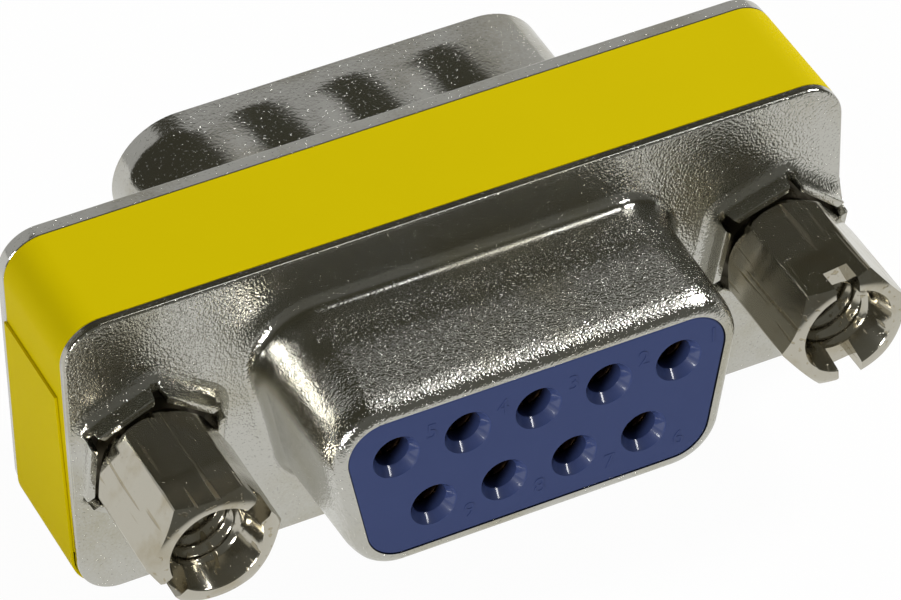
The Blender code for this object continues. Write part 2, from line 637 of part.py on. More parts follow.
def make_wrap_label(collection, material):
    """Strip wound once round the skirts, its outer end lapped over its start on the left end."""
    lift = LABEL_THICKNESS + LABEL_GAP
    heights = (LABEL_UNDER_SHARE * FLANGE_HEIGHT, LABEL_SEAM_SHARE * FLANGE_HEIGHT)
    front = FRONT_Y + LABEL_FRONT_MARGIN
    back = REAR_Y - LABEL_REAR_MARGIN
    flat = flange_outline(LABEL_RECESS - LABEL_GAP, 0.0, heights)
    raised = flange_outline(LABEL_RECESS - LABEL_GAP - lift, 0.0, heights)
    start = len(flat) - (CORNER_STEPS + 1) - len(heights)
    turn = CORNER_STEPS + 1
    path = flat[start:] + flat[:start - turn]
    for step in range(turn):
        index = start - turn + step
        path.append(flat[index].lerp(raised[index], smooth(step / CORNER_STEPS)))
    path += raised[start:start + len(heights)]
    bm = bmesh.new()
    front_row = [bm.verts.new((point.x, front, point.z)) for point in path]
    front_row[-1].co.y += LABEL_DRIFT
    back_row = [bm.verts.new((point.x, back, point.z)) for point in path]
    for i in range(len(path) - 1):
        bm.faces.new((front_row[i], front_row[i + 1], back_row[i + 1], back_row[i]))
    label = add_object("wrap_label", bm, collection, material)
    film = label.modifiers.new("film", "SOLIDIFY")
    film.thickness = LABEL_THICKNESS
    film.offset = 1.0
    film.use_even_offset = True
    return label


def main():
    for old in list(bpy.data.objects):
        bpy.data.objects.remove(old, do_unlink=True)
    parts = make_collection("d_sub_gender_changer")
    cutters = make_collection("cutters")
    plated = make_material("plated_shell", (0.58, 0.57, 0.54), 0.28, 1.0)
    nickel = make_material("nickel_post", (0.62, 0.59, 0.54), 0.16, 1.0)
    steel = make_material("spring_steel", (0.34, 0.34, 0.35), 0.35, 1.0)
    brass = make_material("turned_brass", (0.66, 0.52, 0.28), 0.3, 1.0)
    gold = make_material("contact_gold", (0.80, 0.60, 0.26), 0.25, 1.0)
    blue = make_material("blue_insulator", (0.045, 0.065, 0.15), 0.42, 0.0)
    yellow = make_material("yellow_film", (0.58, 0.46, 0.003), 0.38, 0.0)
    band = make_recess(cutters)
    for shell in (make_front_shell(parts, cutters, plated), make_rear_shell(parts, cutters, plated)):
        add_boolean(shell, "DIFFERENCE", band)
    make_front_insulator(parts, cutters, blue)
    make_rear_insulator(parts, cutters, blue)
    make_contacts(parts, cutters, gold)
    make_wrap_label(parts, yellow)
    for side, x, hex_turn, slot_turn in (
            ("left", -JACKSCREW_SPACING / 2, LEFT_HEX_TURN, LEFT_SLOT_TURN),
            ("right", JACKSCREW_SPACING / 2, RIGHT_HEX_TURN, RIGHT_SLOT_TURN)):
        make_jackscrew(side, x, hex_turn, slot_turn, parts, cutters, nickel)
        make_spacer(side, x, parts, brass)
        make_retaining_ring(side, x, parts, cutters, steel)


main()
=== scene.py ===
import math

import bmesh
import bpy
import numpy as np
from mathutils import Matrix, Vector


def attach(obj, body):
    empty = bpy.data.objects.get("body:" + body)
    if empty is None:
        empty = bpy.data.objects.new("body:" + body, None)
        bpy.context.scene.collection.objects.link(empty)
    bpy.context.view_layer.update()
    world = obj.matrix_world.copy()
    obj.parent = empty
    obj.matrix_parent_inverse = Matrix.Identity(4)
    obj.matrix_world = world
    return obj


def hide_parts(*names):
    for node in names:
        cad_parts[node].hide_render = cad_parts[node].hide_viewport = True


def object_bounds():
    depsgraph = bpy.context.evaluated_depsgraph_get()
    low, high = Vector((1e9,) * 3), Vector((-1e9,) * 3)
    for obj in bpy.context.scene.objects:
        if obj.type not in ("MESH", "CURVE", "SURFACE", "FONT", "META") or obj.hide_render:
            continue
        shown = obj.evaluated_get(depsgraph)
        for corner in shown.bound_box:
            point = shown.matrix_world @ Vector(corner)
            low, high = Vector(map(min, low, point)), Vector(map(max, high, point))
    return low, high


# Lengths below are in millimetres, and become metres where a mesh is made.
# +X is to the right seen from the socket side, which faces -Y, and +Z is up.
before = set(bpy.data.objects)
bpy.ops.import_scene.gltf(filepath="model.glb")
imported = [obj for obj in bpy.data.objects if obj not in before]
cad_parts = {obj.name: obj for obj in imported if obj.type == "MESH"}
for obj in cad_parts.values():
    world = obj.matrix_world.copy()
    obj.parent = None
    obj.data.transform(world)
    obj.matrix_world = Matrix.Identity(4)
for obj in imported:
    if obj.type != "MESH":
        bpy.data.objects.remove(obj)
cadBox = [list(corner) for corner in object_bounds()]
mm = 0.001
print("frame loaded")


# Outline of a rounded shape, clockwise as seen from the front: arcs about corner centres, joined
# by straight runs. A point is centre + normal * radius, so every offset keeps the same count.
def outlineFrame(corners, arcSteps, runSteps):
    centres, normals = [], []
    for index, (x, z, first, last) in enumerate(corners):
        turn = np.radians(np.linspace(first, last, arcSteps + 1))
        centres.append(np.tile([x, z], (arcSteps + 1, 1)))
        normals.append(np.stack([np.cos(turn), np.sin(turn)], 1))
        nextX, nextZ = corners[(index + 1) % len(corners)][:2]
        steps = runSteps[index]
        share = (np.arange(1, steps) / steps)[:, None]
        centres.append(np.array([x, z]) * (1 - share) + np.array([nextX, nextZ]) * share)
        normals.append(np.tile(normals[-1][-1], (steps - 1, 1)))
    return np.concatenate(centres), np.concatenate(normals)


def deeCorners(width, height, corner, slope=10):
    # corner centres of a trapezoid, wide side up, whose ends slope by so many degrees
    z = height / 2 - corner
    upper = width / 2 - corner
    lower = upper - 2 * z * math.tan(math.radians(slope))
    return [(upper, z, 90, -slope), (lower, -z, -slope, -90),
            (-lower, -z, -90, slope - 180), (-upper, z, slope - 180, -270)]


def slabCorners(width, height, corner, drop):
    # corner centres of a rectangle whose middle lies lower than the contacts' by drop
    x, z = width / 2 - corner, height / 2 - corner
    return [(x, z - drop, 90, 0), (x, -z - drop, 0, -90),
            (-x, -z - drop, -90, -180), (-x, z - drop, -180, -270)]


def hexagonCorners(x, z, apothem, corner, turn):
    # six corner centres, the first one turned up from +X by turn degrees
    reach = (apothem - corner) / math.cos(math.radians(30))
    places = np.radians(turn - 60 * np.arange(6))
    return [(x + reach * math.cos(a), z + reach * math.sin(a),
             math.degrees(a) + 30, math.degrees(a) - 30) for a in places]


def loopAt(outline, radius, y):
    # points of an outline at one radius, as x, y, z
    centres, normals = outline
    flat = centres + normals * radius
    return np.stack([flat[:, 0], np.broadcast_to(y, len(flat)), flat[:, 1]], 1)


def smooth(share):
    # 0 to 1 with a soft start and end
    share = np.clip(share, 0, 1)
    return share * share * (3 - 2 * share)


# Quads of a grid of rows by columns, with the last column joined to the first
def gridFaces(rows, columns, flip=False):
    row = np.arange(rows - 1)[:, None]
    column = np.arange(columns)[None, :]
    near, beside = row * columns + column, row * columns + (column + 1) % columns
    quads = np.stack([near, beside, beside + columns, near + columns], 2).reshape(-1, 4)
    return quads[:, ::-1] if flip else quads


# A mesh from points in millimetres, smooth but for edges past an angle
def makeMesh(name, points, faces, angle=40, closed=False):
    mesh = bpy.data.meshes.new(name)
    mesh.from_pydata((np.asarray(points) * mm).tolist(), [], [list(face) for face in faces])
    if closed:
        work = bmesh.new()
        work.from_mesh(mesh)
        bmesh.ops.recalc_face_normals(work, faces=work.faces)
        work.to_mesh(mesh)
        work.free()
    mesh.shade_smooth()
    mesh.set_sharp_from_angle(angle=math.radians(angle))
    piece = bpy.data.objects.new(name, mesh)
    bpy.context.scene.collection.objects.link(piece)
    return piece


def loftSolid(name, loops, angle=40):
    # closed body through loops of equal count, capped at both ends
    loops = np.asarray(loops)
    rows, columns = loops.shape[:2]
    faces = gridFaces(rows, columns).tolist()
    faces.append(list(range(columns))[::-1])
    faces.append(list(range((rows - 1) * columns, rows * columns)))
    return makeMesh(name, loops.reshape(-1, 3), faces, angle, True)


# Body turned about a line along Y through (x, z). A profile row is (radius, y) or, on a thread,
# (radius, y, depth): there the radius falls by depth times a ridge that climbs one pitch a turn.
def turnedSolid(name, profile, x, z, steps, angle=40, pitch=1.0):
    rows = np.array([(row + (0.0,))[:3] for row in profile])
    radius, y, depth = (rows[:, column, None] for column in range(3))
    turn = np.arange(steps)[None, :] / steps
    phase = (y / pitch - turn) % 1.0
    ridge = smooth(np.abs(2 * phase - 1))
    radius = radius - depth * ridge
    ring = np.stack(np.broadcast_arrays(x + radius * np.cos(2 * np.pi * turn), y,
                                        z + radius * np.sin(2 * np.pi * turn)), 2)
    return loftSolid(name, ring, angle)


def blockSolid(name, length, width, start, end, turn, x, z, narrow=1.0):
    # bar across the line through (x, z), from y start to y end, where its width is shared by narrow
    tilt = math.radians(turn)
    along = np.array([math.cos(tilt), math.sin(tilt)])
    across = np.array([-math.sin(tilt), math.cos(tilt)])
    loops = []
    for y, share in ((start, 1.0), (end, narrow)):
        corners = [(x, z) + along * a * length / 2 + across * b * width * share / 2
                   for a, b in ((1, 1), (1, -1), (-1, -1), (-1, 1))]
        loops.append([(corner[0], y, corner[1]) for corner in corners])
    return loftSolid(name, loops)


def settle(piece):
    # the finished mesh of a piece, with its modifiers worked in
    bpy.context.view_layer.update()
    graph = bpy.context.evaluated_depsgraph_get()
    mesh = bpy.data.meshes.new_from_object(piece.evaluated_get(graph))
    old = piece.data
    piece.modifiers.clear()
    piece.data = mesh
    bpy.data.meshes.remove(old)
    mesh.name = piece.name


def cut(piece, tools, operation="DIFFERENCE"):
    for tool in tools:
        step = piece.modifiers.new(operation, "BOOLEAN")
        step.operation = operation
        step.solver = "MANIFOLD"
        step.object = tool
    settle(piece)
    for tool in tools:
        bpy.data.objects.remove(tool, do_unlink=True)


def soften(piece, width, segments=2, angle=35):
    # small rounded edges, so that they catch the light
    bevel = piece.modifiers.new("edges", "BEVEL")
    bevel.width = width * mm
    bevel.segments = segments
    bevel.limit_method = "ANGLE"
    bevel.angle_limit = math.radians(angle)
    settle(piece)


# Normals weighted by face area keep the flats flat beside their rounded edges
def finishPiece(piece, body, slot, material, *replaced, angle=40):
    piece.data.shade_smooth()
    piece.data.set_sharp_from_angle(angle=math.radians(angle))
    weighted = piece.modifiers.new("normals", "WEIGHTED_NORMAL")
    weighted.keep_sharp = True
    weighted.weight = 100
    settle(piece)
    piece.data.materials.clear()
    piece.data.materials.append(material)
    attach(piece, body)
    if replaced:
        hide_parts(*replaced)


# A socket's output in sums: an expression on values adds its Math nodes
class Value:
    def __init__(self, tree, socket):
        self.tree, self.socket = tree, socket

    def join(self, operation, first, second):
        return self.tree.node("ShaderNodeMath", {"operation": operation}, {0: first, 1: second})

    def __add__(self, other):
        return self.join("ADD", self, other)

    def __radd__(self, other):
        return self.join("ADD", other, self)

    def __sub__(self, other):
        return self.join("SUBTRACT", self, other)

    def __rsub__(self, other):
        return self.join("SUBTRACT", other, self)

    def __mul__(self, other):
        return self.join("MULTIPLY", self, other)

    def __rmul__(self, other):
        return self.join("MULTIPLY", other, self)


class Nodes:
    def __init__(self, owner):
        owner.use_nodes = True
        self.tree = owner.node_tree
        self.tree.nodes.clear()

    def put(self, socket, value):
        if isinstance(value, Value):
            self.tree.links.new(value.socket, socket)
        else:
            socket.default_value = value

    # Any node: its type, its settings, the values or links of its inputs, and the output wanted
    def node(self, kind, settings=None, inputs=None, output=0):
        node = self.tree.nodes.new(kind)
        for name, value in (settings or {}).items():
            setattr(node, name, value)
        for name, value in (inputs or {}).items():
            self.put(node.inputs[name], value)
        return Value(self, node.outputs[output])

    def place(self):
        return self.node("ShaderNodeTexCoord", output="Object")

    def noise(self, where, size, detail=2.0, roughness=0.5, stretch=None, shift=0.0):
        # size is the width of a blotch in millimetres
        if stretch or shift:
            where = self.node("ShaderNodeMapping", None, {
                "Vector": where, "Scale": stretch or (1, 1, 1), "Location": (shift, shift, shift)})
        return self.node("ShaderNodeTexNoise", None, {
            "Vector": where, "Scale": 1 / (size * mm), "Detail": detail, "Roughness": roughness})

    def band(self, value, low, high, first=0.0, last=1.0):
        # goes softly from first to last while the value goes from low to high
        return self.node("ShaderNodeMapRange", {"interpolation_type": "SMOOTHSTEP"}, {
            "Value": value, "From Min": low, "From Max": high, "To Min": first, "To Max": last})

    def axis(self, where, index):
        return self.node("ShaderNodeSeparateXYZ", None, {0: where}, index)

    def mix(self, share, first, second):
        # from the first colour to the second; a mix of colours has its sockets at 6, 7 and 2
        inputs = {0: share, 6: first, 7: second}
        return self.node("ShaderNodeMix", {"data_type": "RGBA"}, inputs, output=2)

    def bump(self, height, distance, normal=None):
        inputs = {"Height": height, "Distance": distance * mm, "Strength": 1.0}
        if normal:
            inputs["Normal"] = normal
        return self.node("ShaderNodeBump", None, inputs)

    def surface(self, inputs):
        shader = self.node("ShaderNodeBsdfPrincipled", None, inputs)
        self.finish("ShaderNodeOutputMaterial", shader)

    def finish(self, kind, shader):
        end = self.tree.nodes.new(kind)
        self.tree.links.new(shader.socket, end.inputs["Surface"])


def tint(red, green, blue):
    # a colour as it is seen, 0 to 255, as the light that the shader works in
    return tuple(((c / 255 + 0.055) / 1.055) ** 2.4 if c > 10 else c / 255 / 12.92
                 for c in (red, green, blue)) + (1.0,)


# Grain is the height of the orange peel that drawing leaves in the sheet: strong on the rolled
# rim and the flange's face, weaker on the hood's wall, and nearly burnished away on the flare
plating = {
    "colour": tint(190, 189, 183),
    "worn": tint(172, 168, 150),
    "roughness": 0.10,
    "grainSize": 0.09,
    "grain": 0.030,
    "rimGrain": 0.95,       # shares of it, from the rim back to behind the flange's face
    "wallGrain": 0.66,
    "flareGrain": 0.08,
    "flangeGrain": 0.95,
    "edgeGrain": 0.10,
    "speckSize": 0.09,
    "speckCut": (0.66, 0.74),       # from where to where in its noise a speck rises
    "speck": 0.014,
    "waveSize": 1.1,
    "wave": 0.004,
    "stainSize": 5.0,
    "stainCut": (0.5, 0.85),
}

# The rear shell is smoother, and the same all over
rearPlating = dict(plating, colour=tint(190, 189, 184), worn=tint(172, 168, 154), roughness=0.11,
                   grainSize=0.12, grain=0.008, rimGrain=0.4, wallGrain=0.4, flareGrain=0.4,
                   flangeGrain=0.4, edgeGrain=0.4, speckSize=0.10, waveSize=1.4, wave=0.003)

# The collars' sheet is stretched where it was lanced, and rougher above the flange's face
collarPlating = dict(plating, rimGrain=0.6, wallGrain=0.6, flareGrain=0.6, edgeGrain=0.95)

# Where along Y the share changes to the wall's, the flare's, the flange's and the edge's
grainBands = {"wall": (0.6, 1.6), "flare": (4.6, 5.2), "flange": (5.8, 5.98), "edge": (6.02, 6.07)}


def makePlating(name, look):
    # bright tin-nickel plating on drawn sheet, with an orange-peel grain and slow waves under it
    material = bpy.data.materials.new(name)
    nodes = Nodes(material)
    where = nodes.place()
    back = nodes.axis(where, 1)
    low, high = grainBands["wall"]
    share = nodes.band(back, low * mm, high * mm, look["rimGrain"], look["wallGrain"])
    for before, after in (("wall", "flare"), ("flare", "flange"), ("flange", "edge")):
        low, high = grainBands[after]
        change = look[after + "Grain"] - look[before + "Grain"]
        share = share + nodes.band(back, low * mm, high * mm, 0.0, change)
    grain = nodes.noise(where, look["grainSize"], 1.0)
    speck = nodes.band(nodes.noise(where, look["speckSize"], 1.0, shift=0.4), *look["speckCut"])
    wave = nodes.noise(where, look["waveSize"])
    stain = nodes.noise(where, look["stainSize"], 3.0, 0.55)
    dirt = nodes.band(stain + grain * 0.15, *look["stainCut"])
    waves = nodes.bump(wave, look["wave"])
    peel = nodes.bump((grain - 0.5) * share, look["grain"], waves)
    nodes.surface({
        "Base Color": nodes.mix(dirt, look["colour"], look["worn"]),
        "Metallic": 1.0,
        "Roughness": look["roughness"] + dirt * 0.10,
        "Normal": nodes.bump(speck * share, look["speck"], peel),
    })
    return material


post = {
    "colour": tint(186, 182, 170),
    "worn": tint(160, 148, 118),
    "roughness": 0.11,
    "along": (1.0, 0.05, 1.0),      # draws lines and scratches out along the bar
    "lineSize": 0.16,
    "line": 0.0012,
    "scratchSize": 0.24,
    "scratchCut": (0.64, 0.68),
    "scratch": 0.004,
    "pitSize": 0.07,
    "pitCut": (0.72, 0.78),
    "pit": 0.003,
    "stainSize": 1.6,
    "stainCut": (0.45, 0.75),
}


def makePostNickel():
    # nickel on drawn hexagonal bar: faint lines along it, a few scratches and pits, warm stains
    material = bpy.data.materials.new("nickelPost")
    nodes = Nodes(material)
    where = nodes.place()
    line = nodes.noise(where, post["lineSize"], 3.0, 0.6, post["along"])
    scratch = nodes.band(nodes.noise(where, post["scratchSize"], 1.0, 0.4, post["along"], 0.3),
                         *post["scratchCut"])
    pit = nodes.band(nodes.noise(where, post["pitSize"], 1.0, shift=0.7), *post["pitCut"])
    stain = nodes.band(nodes.noise(where, post["stainSize"], 3.0, 0.6), *post["stainCut"])
    lines = nodes.bump(line, post["line"])
    nodes.surface({
        "Base Color": nodes.mix(stain * 0.5 + scratch * 0.5, post["colour"], post["worn"]),
        "Metallic": 1.0,
        "Roughness": post["roughness"] + stain * 0.05 + scratch * 0.15,
        "Normal": nodes.bump(pit, -post["pit"], nodes.bump(scratch, -post["scratch"], lines)),
    })
    return material


blue = {
    "colour": tint(58, 71, 118),
    "pale": tint(68, 82, 130),
    "deep": tint(16, 17, 30),       # painted shade far down the entries, where little light gets in
    "paintedShadeFrom": (0.35, 1.1),
    "roughness": 0.34,
    "specular": 0.15,
    "coatFrom": (0.05, 0.10),       # the entries are glossy inside
    "coatRoughness": 0.10,
    "rear": (9.0, 9.02),            # behind this the block is the rear one, and plain
    "cloudSize": 3.0,
    "cloud": 0.02,
    "fineSize": 0.12,
    "fine": 0.003,
    "scuffSize": 0.5,
    "scuffCut": (0.62, 0.78),
}


def makeBlue():
    # satin moulded plastic, slightly paler where it is scuffed, glossy in the entries, with shade
    # painted dark far down them
    material = bpy.data.materials.new("blueInsulator")
    nodes = Nodes(material)
    where = nodes.place()
    cloud = nodes.noise(where, blue["cloudSize"], 3.0, 0.6)
    fine = nodes.noise(where, blue["fineSize"], 3.0, 0.6)
    scuff = nodes.band(nodes.noise(where, blue["scuffSize"], 4.0, 0.7), *blue["scuffCut"])
    back = nodes.axis(where, 1)
    rear, deep, coat = ([limit * mm for limit in blue[part]]
                        for part in ("rear", "paintedShadeFrom", "coatFrom"))
    block = nodes.band(back, *rear, 1.0, 0.0)
    shade = nodes.mix(cloud * 0.35 + scuff * 0.3, blue["colour"], blue["pale"])
    nodes.surface({
        # painted shade: the entries turn near black with depth, as little light reaches into them
        "Base Color": nodes.mix(nodes.band(back, *deep) * block, shade, blue["deep"]),
        "Roughness": blue["roughness"] + fine * 0.12,
        "Specular IOR Level": blue["specular"],
        "Coat Weight": nodes.band(back, *coat) * block,
        "Coat Roughness": blue["coatRoughness"],
        "Normal": nodes.bump(fine, blue["fine"], nodes.bump(cloud, blue["cloud"])),
    })
    return material


yellow = {
    "colour": tint(210, 190, 0),
    "deep": tint(204, 183, 0),
    "roughness": 0.5,
    "specular": 0.02,
    "cloudSize": 4.0,
    "cloud": 0.03,
    "fineSize": 0.10,
    "fine": 0.0012,
    "fleckSize": 0.35,
    "fleckCut": (0.70, 0.80),
}


def makeYellow():
    # polyester film, faintly mottled, with a soft sheen
    material = bpy.data.materials.new("yellowFilm")
    nodes = Nodes(material)
    where = nodes.place()
    cloud = nodes.noise(where, yellow["cloudSize"], 3.0, 0.6)
    fine = nodes.noise(where, yellow["fineSize"])
    fleck = nodes.band(nodes.noise(where, yellow["fleckSize"], 3.0, 0.7), *yellow["fleckCut"])
    nodes.surface({
        "Base Color": nodes.mix(cloud * 0.5 + fleck * 0.4, yellow["colour"], yellow["deep"]),
        "Roughness": yellow["roughness"] + fine * 0.08,
        "Specular IOR Level": yellow["specular"],
        "Normal": nodes.bump(fine, yellow["fine"], nodes.bump(cloud, yellow["cloud"])),
    })
    return material


# Colour, darker colour painted on the end towards the sockets as shade, roughness, and width of the
# tool marks
metals = {
    "contactGold": (tint(226, 186, 108), tint(92, 70, 50), 0.22, 0.08),
    "spacerBrass": (tint(206, 176, 112), tint(104, 100, 90), 0.30, 0.08),
    "ringSteel": (tint(132, 132, 134), tint(132, 132, 134), 0.30, 0.10),
}

toolMarks = {
    "around": (0.2, 1.0, 0.2),      # draws the marks out round the axis
    "height": 0.002,
    "toneSize": 1.5,
    "darker": 0.72,
    # where along Y the painted shade on the socket end gives way to the metal's own colour
    "shadedSocketEnd": (8.0, 9.0),
}


def makeMetal(name):
    # turned or stamped metal with fine tool marks round its axis, its socket end painted darker as
    # shade
    colour, front, roughness, markSize = metals[name]
    material = bpy.data.materials.new(name)
    nodes = Nodes(material)
    where = nodes.place()
    marks = nodes.noise(where, markSize, 3.0, 0.6, toolMarks["around"])
    tone = nodes.noise(where, toolMarks["toneSize"])
    darker = tuple(c * toolMarks["darker"] for c in colour[:3]) + (1.0,)
    low, high = toolMarks["shadedSocketEnd"]
    shadedSocketEnd = nodes.band(nodes.axis(where, 1), low * mm, high * mm, 1.0, 0.0)
    nodes.surface({
        # painted shade: the end towards the sockets lies in the dark inside the body, so it takes
        # the darker colour
        "Base Color": nodes.mix(shadedSocketEnd, nodes.mix(tone, colour, darker), front),
        "Metallic": 1.0,
        "Roughness": roughness + marks * 0.12,
        "Normal": nodes.bump(marks, toolMarks["height"]),
    })
    return material


sheetPlating = makePlating("platedShell", plating)
rearSheetPlating = makePlating("platedRearShell", rearPlating)
collarSheetPlating = makePlating("platedCollar", collarPlating)
postNickel = makePostNickel()
bluePlastic = makeBlue()
yellowFilm = makeYellow()
contactGold, spacerBrass, ringSteel = (makeMetal(name) for name in metals)
print("materials made")

# Sizes that several pieces share
body = {
    "sheet": 0.30,          # thickness of the shells
    "front": 6.0,           # outer faces of the two flanges, and the seam between them
    "back": 12.0,
    "seam": 9.0,
    "postX": 12.455,
    "fit": 0.03,
    "arcSteps": 18,
}

flange = {
    "width": 30.73,
    "height": 12.5,
    "corner": 1.6,
    "drop": 0.03,
    "edge": 0.10,           # radius of its face's edge, and how far the skirt stands in there
    "draft": 0.012,
    "plateSteps": 6,
}

hood = {
    "width": 16.33,
    "height": 7.90,
    "corner": 2.2,
    "taper": 0.13,
    "rim": 0.45,            # radius of the rolled rim, and the easing from it into the wall
    "ease": 0.12,
    "easeRun": 0.80,
    "inside": 0.63,         # from the wall to the rim's inner edge
    "flareStart": 5.0,
    "flare": 0.49,          # how far the flare spreads into the flange
    "runs": (64, 24, 56, 24),       # steps along the top, right end, bottom and left end
}

pinShell = {
    "width": 17.52,
    "height": 8.96,
    "corner": 2.70,
    "length": 5.3,
    "fillet": 0.45,
    "runs": (150, 24, 130, 24),
    "rows": 42,
    "postHole": 1.48,
    # start, width and depth of each dent, and the width of the soft edge on its right
    "upper": ((-10.2, 4.6, 0.60, 1.6), (-4.65, 2.3, 0.30, 1.1), (-1.0, 2.3, 0.30, 1.1),
              (2.65, 2.3, 0.30, 1.1)),
    "lower": ((-3.06, 2.3, 0.30, 1.1), (0.61, 2.3, 0.30, 1.1)),
    "dentRim": 0.85,
    "dentRound": 0.75,      # how much farther from the rim its corners are
    "dentRoot": 0.45,
    "dentWall": 0.30,       # width of the steep wall on its left
    "dentFoot": 0.40,
}

collar = {
    "apothem": 2.60,
    "corner": 0.69,
    "height": 0.85,
    "root": 0.50,           # radius of the bend up from the flange
    "sunk": 0.12,           # how far the bend's foot lies in the sheet
    "hole": 0.12,           # how much wider than the collar's inside the flange is cut
    "lip": 0.05,
    "slit": 0.60,
    "slitFloor": 0.20,
    "slitTaper": 0.55,
    "edge": 0.03,
    "trim": 0.03,           # how far inside the flange's rim the collar is cut off
    "turns": {"left": 23.7, "right": 18.5},
}

label = {
    "front": 6.39,
    "back": 11.35,
    "recess": 0.12,         # depth of the band in the skirts where the strip lies
    "thickness": 0.10,
    "gap": 0.02,
    "edge": 0.025,
    "drift": 0.42,          # how far back the front edge has wandered at the outer end
    "under": -4.25,         # height of the strip's start, and of its end over it
    "seam": 2.86,
}


def flangeOutline(runs):
    corners = slabCorners(flange["width"], flange["height"], flange["corner"], flange["drop"])
    return outlineFrame(corners, body["arcSteps"], runs)


def deeOutline(shape, runs):
    corners = deeCorners(shape["width"], shape["height"], shape["corner"])
    return outlineFrame(corners, body["arcSteps"], runs)


def panLoops(outline, face, inward, bandStart):
    # rim and skirt of a flange, from its outer face inward, with the band that the label lies in
    edge, draft, recess, fit = flange["edge"], flange["draft"], label["recess"], body["fit"]
    skirt = body["seam"] - body["front"]
    rows = [(draft + edge * (1 - math.sin(t)), edge * (1 - math.cos(t)))
            for t in np.linspace(0, np.pi / 2, 9)]
    rows += [(0.0, bandStart - fit - 0.02), (0.02, bandStart - fit), (recess, bandStart - fit),
             (recess, skirt / 2), (recess, skirt - fit)]
    return [loopAt(outline, flange["corner"] - inset, face + inward * depth)
            for inset, depth in rows]


def pressedShell(name, loops, flip):
    # closed sheet through loops of equal count: the outside, then the inside a sheet's thickness in
    loops = np.asarray(loops)
    rows, columns = loops.shape[:2]
    shell = makeMesh(name, loops.reshape(-1, 3), gridFaces(rows, columns, flip=flip))
    solid = shell.modifiers.new("sheet", "SOLIDIFY")
    solid.thickness = body["sheet"] * mm
    solid.offset = -1.0
    solid.use_even_offset = True
    settle(shell)
    return shell


def plateLoops(inner, outer):
    # flat face between the flare and the rim of a flange
    steps = flange["plateSteps"]
    return [inner * (1 - step / steps) + outer * (step / steps) for step in range(1, steps)]


def hexagonBar(name, x, apothem, corner, turn, start, end):
    outline = outlineFrame(hexagonCorners(x, 0.0, apothem, corner, turn), 6, (2,) * 6)
    return loftSolid(name, [loopAt(outline, corner, y) for y in (start, end)])


# The hood's section from the rim's inner edge back: a rolled rim, an easing of falling slope, a
# wall that widens by its taper, and a quarter turn of an ellipse out into the flange.
def makeFrontShell():
    dee = deeOutline(hood, hood["runs"])
    rim, ease, run, taper = (hood[part] for part in ("rim", "ease", "easeRun", "taper"))
    face = body["front"]
    last = math.pi / 2 - math.atan(2 * ease / run)
    top, depth = rim * math.sin(last), rim * (1 - math.cos(last))
    rows = [(-taper - hood["inside"], 0.0)]
    rows += [(rim * math.sin(t) - top - ease - taper, rim * (1 - math.cos(t)))
             for t in np.linspace(0, last, 13)]
    rows += [(-taper - ease * (1 - share) ** 2, depth + run * share)
             for share in np.linspace(0, 1, 11)[1:]]
    depth += run
    wallEnd, flare = hood["flareStart"], hood["flare"]
    rows += [(-taper * (1 - share), depth + (wallEnd - depth) * share)
             for share in np.linspace(0, 1, 13)[1:-1]]
    rows += [(flare * (1 - math.cos(t)), wallEnd + (face - wallEnd) * math.sin(t))
             for t in np.linspace(0, np.pi / 2, 17)]
    loops = [loopAt(dee, hood["corner"] + offset, y) for offset, y in rows]
    pan = panLoops(flangeOutline(hood["runs"]), face, 1, label["front"] - face)
    loops += plateLoops(loops[-1], pan[0]) + pan
    shell = pressedShell("hoodAndFlange", loops, False)
    across = collar["apothem"] - body["sheet"] + collar["hole"]
    cut(shell, [hexagonBar(side + "Hole", x, across, collar["corner"], collar["turns"][side],
                           face - 0.4, face + 1.0)
                for side, x in (("left", -body["postX"]), ("right", body["postX"]))])
    return shell


# Hexagonal collar lanced up from the flange: a section of offset and height carried round a
# hexagon, from its rolled root over its cut top edge and down inside, then split at the corners.
def makeCollar(side, x):
    face, sheet = body["front"], body["sheet"]
    root, lip, height = collar["root"], collar["lip"], collar["height"]
    quarter = np.linspace(0, np.pi / 2, 7)
    section = [(root, collar["sunk"])]
    section += [(root * (1 - math.sin(t)), -root * (1 - math.cos(t))) for t in quarter]
    section += [(lip * (math.cos(t) - 1), -height + lip * (1 - math.sin(t))) for t in quarter[::2]]
    section += [(-sheet + lip * (1 - math.sin(t)), -height + lip * (1 - math.cos(t)))
                for t in quarter[::2]]
    section += [(-sheet, sheet), (-lip, sheet)]
    turn = collar["turns"][side]
    corner = collar["corner"]
    outline = outlineFrame(hexagonCorners(x, 0.0, collar["apothem"], corner, turn), 8, (8,) * 6)
    loops = np.array([loopAt(outline, corner + offset, face + y) for offset, y in section])
    rows, columns = loops.shape[:2]
    faces = gridFaces(rows, columns).tolist()
    last = (rows - 1) * columns
    for here in range(columns):
        beside = (here + 1) % columns
        faces.append([last + here, last + beside, beside, here])
    ring = makeMesh(side + "Collar", loops.reshape(-1, 3), faces, 40, True)
    slab, inside = flangeOutline(hood["runs"]), flange["corner"] - collar["trim"]
    trim = loftSolid("trim", [loopAt(slab, inside, y) for y in (face - 1.2, face + 0.4)])
    cut(ring, [trim], "INTERSECT")
    top, floor = face - height - 0.3, face - collar["slitFloor"]
    cut(ring, [blockSolid("slit", 8.0, collar["slit"], top, floor, turn + 60 * pair, x, 0.0,
                          collar["slitTaper"]) for pair in range(3)])
    soften(ring, collar["edge"])
    return ring


frontShell = makeFrontShell()
finishPiece(frontShell, "housing", "plated_shell", sheetPlating, "front_shell")
for side, x in (("left", -body["postX"]), ("right", body["postX"])):
    finishPiece(makeCollar(side, x), "housing", "plated_shell", collarSheetPlating)
print("front shell made")


